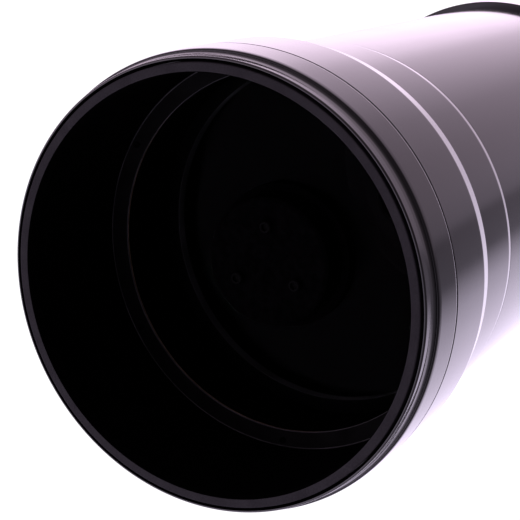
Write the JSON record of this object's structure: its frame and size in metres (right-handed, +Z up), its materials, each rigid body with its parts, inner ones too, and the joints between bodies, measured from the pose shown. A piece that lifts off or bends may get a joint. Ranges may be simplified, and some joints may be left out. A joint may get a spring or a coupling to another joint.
{
  "type": "schmidt cassegrain telescope",
  "caption": "Gloss black catadioptric telescope tube with a deep front hood, corrector, rear focuser, diagonal, eyepiece, finder and dovetail bar.",
  "frame": {"origin": "centre of the dovetail bar's bottom face", "axes": "+Y along the optical axis towards the eyepiece end, +Z up from the bar to the tube"},
  "size_m": [0.3231, 0.588, 0.2537],
  "materials": {
    "gloss_black_paint": "gloss black baked enamel over aluminium",
    "matt_black_paint": "matt black powder coat",
    "flat_black": "flat black optical paint",
    "satin_black": "satin black anodised",
    "rubber": "moulded black rubber",
    "chrome": "polished chrome",
    "steel": "turned steel",
    "black_steel": "black oxide steel",
    "bare_aluminium": "machined aluminium",
    "brass": "turned brass",
    "coated_glass": "anti-reflection coated glass",
    "mirror": "aluminised glass mirror",
    "cork": "cork sheet"
  },
  "bodies": {
    "tube_assembly": {"front_lip_ring": "matt_black_paint", "trim_bead_ring": "gloss_black_paint", "hood_ring": "gloss_black_paint", "front_cell": "gloss_black_paint", "corrector_retaining_ring": "flat_black", "corrector_gasket": "cork", "corrector_plate": "coated_glass", "secondary_housing": "flat_black", "secondary_retainer": "flat_black", "tube_baffle_ring": "flat_black", "main_tube": "gloss_black_paint", "rear_cell": "gloss_black_paint", "primary_baffle_tube": "flat_black", "focus_bearing_housing": "satin_black", "focus_bearing_front": "steel", "focus_bearing_rear": "steel", "rear_port_ring": "bare_aluminium", "visual_back_tube": "satin_black", "finder_shoe": "satin_black", "dovetail_bar": "satin_black", "dovetail_block_front": "satin_black", "dovetail_block_rear": "satin_black", "dovetail_bolt_front": "black_steel", "dovetail_bolt_rear": "black_steel", "carry_handle": "rubber"},
    "mirror_carriage": {"mirror_carrier": "bare_aluminium", "primary_mirror": "mirror", "mirror_clamp_ring": "bare_aluminium", "focus_rod": "steel"},
    "focus_control": {"focus_nut": "brass", "focus_knob": "satin_black", "knob_grip": "rubber"},
    "collimator_a": {"collimation_screw_a": "black_steel"},
    "collimator_b": {"collimation_screw_b": "black_steel"},
    "collimator_c": {"collimation_screw_c": "black_steel"},
    "secondary_swivel": {"secondary_pivot": "steel"},
    "secondary_cell": {"secondary_mirror_holder": "bare_aluminium", "secondary_mirror": "mirror"},
    "back_collar": {"visual_back_collar": "satin_black"},
    "back_screw": {"visual_back_thumbscrew": "satin_black"},
    "diagonal": {"diagonal_nosepiece": "chrome", "diagonal_body": "satin_black", "diagonal_mirror": "mirror", "diagonal_cover": "satin_black", "eyepiece_holder": "satin_black"},
    "eyepiece_screw": {"eyepiece_thumbscrew": "satin_black"},
    "eyepiece": {"eyepiece_barrel": "chrome", "eyepiece_body": "satin_black", "eyepiece_eye_lens": "coated_glass", "eyepiece_eyecup": "rubber"},
    "finder_mount": {"finder_bracket": "satin_black"},
    "shoe_screw": {"finder_shoe_thumbscrew": "satin_black"},
    "finder_swivel": {"finder_o_ring": "rubber"},
    "finder_scope": {"finder_tube": "gloss_black_paint", "finder_eyepiece": "satin_black"},
    "finder_objective": {"finder_objective_cell": "satin_black", "finder_objective_lens": "coated_glass"},
    "adjuster_a": {"finder_adjust_screw_a": "satin_black"},
    "adjuster_b": {"finder_adjust_screw_b": "satin_black"},
    "plunger": {"finder_plunger": "steel"}
  },
  "joints": [
    {"name": "focus_turn", "type": "hinge", "parent": "tube_assembly", "child": "focus_control", "pos_m": [-0.06108, 0.209, 0.11177], "axis": [0, 1, 0], "range_deg": [-4490, 4490]},
    {"name": "mirror_slide", "type": "slide", "parent": "tube_assembly", "child": "mirror_carriage", "axis": [0, 1, 0], "range_m": [-0.00997, 0.00997]},
    {"name": "collimation_turn_a", "type": "hinge", "parent": "tube_assembly", "child": "collimator_a", "pos_m": [0, -0.22, 0.154], "axis": [0, 1, 0], "range_deg": [-360, 360]},
    {"name": "collimation_turn_b", "type": "hinge", "parent": "tube_assembly", "child": "collimator_b", "pos_m": [-0.01732, -0.22, 0.124], "axis": [0, 1, 0], "range_deg": [-360, 360]},
    {"name": "collimation_turn_c", "type": "hinge", "parent": "tube_assembly", "child": "collimator_c", "pos_m": [0.01732, -0.22, 0.124], "axis": [0, 1, 0], "range_deg": [-360, 360]},
    {"name": "secondary_tilt_x", "type": "hinge", "parent": "tube_assembly", "child": "secondary_swivel", "pos_m": [0, -0.2096, 0.134], "axis": [1, 0, 0], "range_deg": [-0.7, 0.7]},
    {"name": "secondary_tilt_z", "type": "hinge", "parent": "secondary_swivel", "child": "secondary_cell", "pos_m": [0, -0.2096, 0.134], "axis": [0, 0, 1], "range_deg": [-0.7, 0.7]},
    {"name": "collar_turn", "type": "hinge", "parent": "tube_assembly", "child": "back_collar", "pos_m": [0, 0.21, 0.134], "axis": [0, 1, 0], "range_deg": [-360, 360]},
    {"name": "back_screw_turn", "type": "hinge", "parent": "tube_assembly", "child": "back_screw", "pos_m": [0.01909, 0.234, 0.15309], "axis": [0.7071, 0, 0.7071], "range_deg": [0, 720]},
    {"name": "diagonal_turn", "type": "hinge", "parent": "tube_assembly", "child": "diagonal", "pos_m": [0, 0.254, 0.134], "axis": [0, 1, 0], "continuous": true},
    {"name": "eyepiece_screw_turn", "type": "hinge", "parent": "diagonal", "child": "eyepiece_screw", "pos_m": [0, 0.298, 0.174], "axis": [0, 1, 0], "range_deg": [0, 720]},
    {"name": "eyepiece_slide", "type": "slide", "parent": "diagonal", "child": "eyepiece", "axis": [0, 0, 1], "range_m": [0, 0.018]},
    {"name": "finder_slide", "type": "slide", "parent": "tube_assembly", "child": "finder_mount", "axis": [0, 1, 0], "range_m": [0, 0.03]},
    {"name": "shoe_screw_turn", "type": "hinge", "parent": "tube_assembly", "child": "shoe_screw", "pos_m": [-0.124, 0.164, 0.114], "axis": [0, 0, -1], "range_deg": [0, 720]},
    {"name": "finder_tilt_up", "type": "hinge", "parent": "finder_mount", "child": "finder_swivel", "pos_m": [-0.17, 0.126, 0.134], "axis": [0, 0, 1], "range_deg": [-1.5, 1.5]},
    {"name": "finder_tilt_side", "type": "hinge", "parent": "finder_swivel", "child": "finder_scope", "pos_m": [-0.17, 0.126, 0.134], "axis": [-1, 0, 0], "range_deg": [-1.5, 1.5]},
    {"name": "finder_focus", "type": "hinge", "parent": "finder_scope", "child": "finder_objective", "pos_m": [-0.17, 0.004, 0.134], "axis": [0, 1, 0], "range_deg": [-360, 360]},
    {"name": "adjust_turn_a", "type": "hinge", "parent": "finder_mount", "child": "adjuster_a", "pos_m": [-0.19631, 0.162, 0.14358], "axis": [-0.9397, 0, 0.342], "range_deg": [-720, 720]},
    {"name": "adjust_turn_b", "type": "hinge", "parent": "finder_mount", "child": "adjuster_b", "pos_m": [-0.16514, 0.162, 0.10643], "axis": [0.1736, 0, -0.9848], "range_deg": [-720, 720]},
    {"name": "plunger_push", "type": "slide", "parent": "finder_mount", "child": "plunger", "axis": [0.766, 0, 0.6428], "range_m": [0, 0.003], "stiffness_N_per_m": 1500, "springref_m": -0.002}
  ],
  "couplings": [
    {"joint": "focus_turn", "follows": "mirror_slide", "rad_per_m": 7854}
  ]
}
